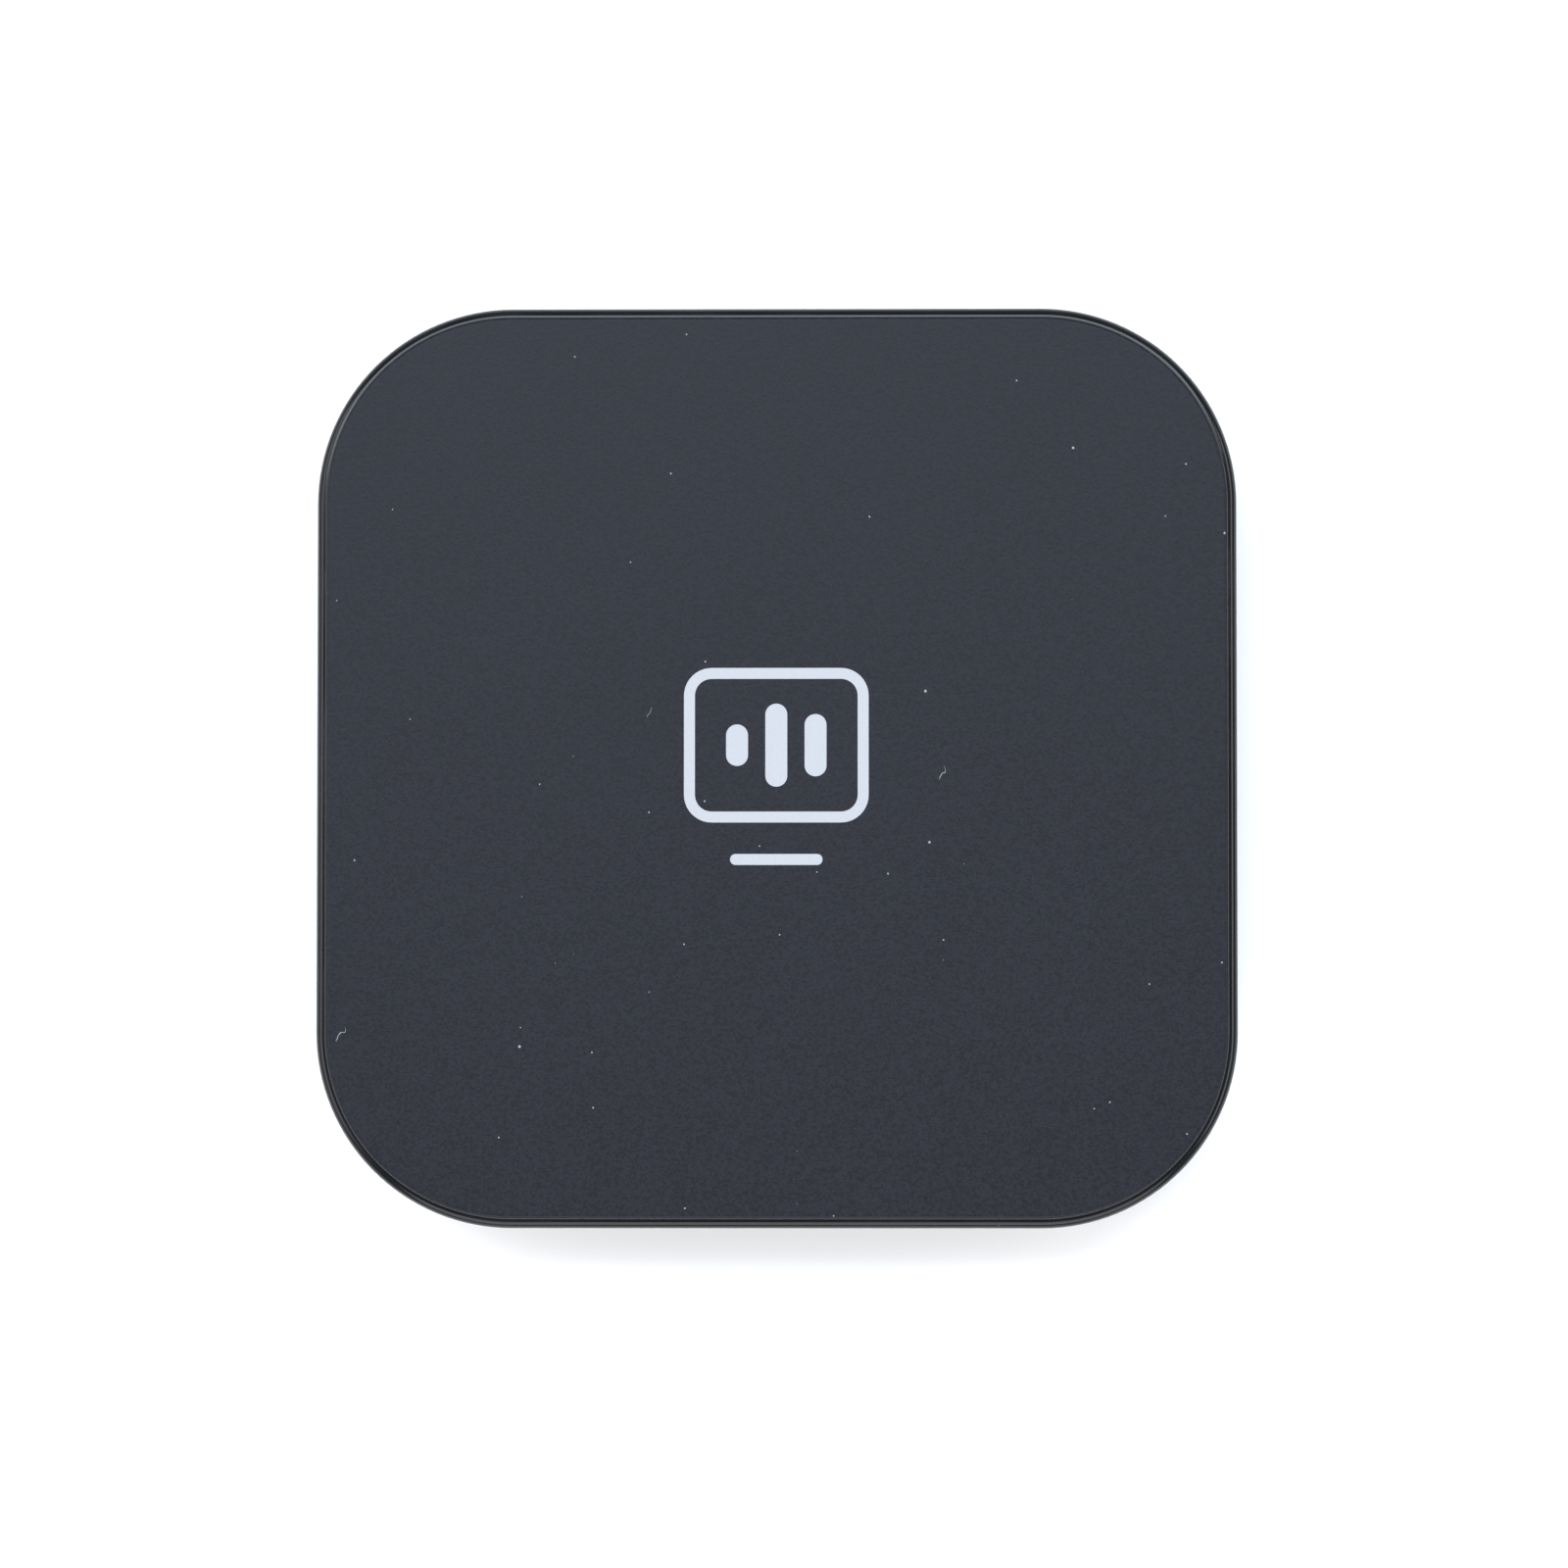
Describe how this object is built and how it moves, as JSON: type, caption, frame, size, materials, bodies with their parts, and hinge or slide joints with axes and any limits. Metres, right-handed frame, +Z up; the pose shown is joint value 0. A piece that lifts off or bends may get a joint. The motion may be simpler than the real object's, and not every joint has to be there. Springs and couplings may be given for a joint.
{
  "type": "streaming media player",
  "caption": "Square palm-size streaming box with rounded corners, a matte lid on a gloss frame, video, power and card sockets, reset button and status light.",
  "frame": {"origin": "centre of the footprint, at the underside of the rubber feet", "axes": "+Z up through the lid; +Y towards the face with the video and power connectors; +X towards the face with the card slot"},
  "size_m": [0.08, 0.08, 0.016],
  "materials": {
    "lid_plastic": "fine matte texture",
    "mark_ink": "printed ink",
    "frame_plastic": "polished",
    "base_plastic": "spark-eroded texture",
    "foot_rubber": "matte",
    "screw_steel": "zinc plated",
    "label_film": "satin film",
    "board_laminate": "solder mask",
    "chip_resin": "moulded resin",
    "ferrite": "moulded powder",
    "can_aluminium": "drawn",
    "ceramic": "fired ceramic",
    "plated_steel": "tin plated",
    "thermal_gel": "soft pad",
    "sink_aluminium": "extruded",
    "gilt_brass": "gold plated",
    "cable_jacket": "extruded",
    "connector_plastic": "moulded",
    "spring_steel": "drawn wire",
    "slider_plastic": "natural moulded",
    "button_plastic": "satin",
    "led_resin": "cast resin",
    "pipe_acrylic": "clear acrylic"
  },
  "bodies": {
    "case": {"top_cover": "lid_plastic", "cover_mark": "mark_ink", "side_frame": "frame_plastic", "base_cover": "base_plastic", "rubber_feet": "foot_rubber", "case_screws": "screw_steel", "base_label": "label_film", "main_board": "board_laminate", "board_screws": "screw_steel", "soc_chip": "chip_resin", "memory_chips": "chip_resin", "flash_chip": "chip_resin", "power_chip": "chip_resin", "video_chip": "chip_resin", "power_inductors": "ferrite", "bulk_capacitors": "can_aluminium", "chip_capacitors": "ceramic", "crystal": "plated_steel", "shield_can": "plated_steel", "inner_thermal_pad": "thermal_gel", "outer_thermal_pad": "thermal_gel", "heat_sink": "sink_aluminium", "radio_board": "board_laminate", "radio_shield": "plated_steel", "antenna_left": "gilt_brass", "antenna_front": "gilt_brass", "antenna_sockets": "gilt_brass", "antenna_plugs": "gilt_brass", "antenna_cable_left": "cable_jacket", "antenna_cable_front": "cable_jacket", "video_port_shell": "plated_steel", "video_port_tongue": "connector_plastic", "video_port_contacts": "gilt_brass", "power_port_shell": "plated_steel", "power_port_tongue": "connector_plastic", "power_port_contacts": "gilt_brass", "card_socket_base": "connector_plastic", "card_socket_cover": "plated_steel", "card_socket_contacts": "gilt_brass", "card_spring": "spring_steel", "switch_dome": "spring_steel", "switch_housing": "connector_plastic", "switch_bracket": "plated_steel", "status_led": "led_resin", "light_pipe": "pipe_acrylic"},
    "reset_button": {"reset_button": "button_plastic", "switch_plunger": "slider_plastic"},
    "card_slider": {"card_slider": "slider_plastic"}
  },
  "joints": [
    {"name": "reset_press", "type": "slide", "parent": "case", "child": "reset_button", "axis": [0, -1, 0], "range_m": [0, 0.0003], "stiffness_N_per_m": 2000, "springref_m": -0.0002, "deforming": ["switch_dome"]},
    {"name": "card_slide", "type": "slide", "parent": "case", "child": "card_slider", "axis": [-1, 0, 0], "range_m": [0, 0.0014], "stiffness_N_per_m": 300, "springref_m": -0.001, "deforming": ["card_spring"]}
  ]
}
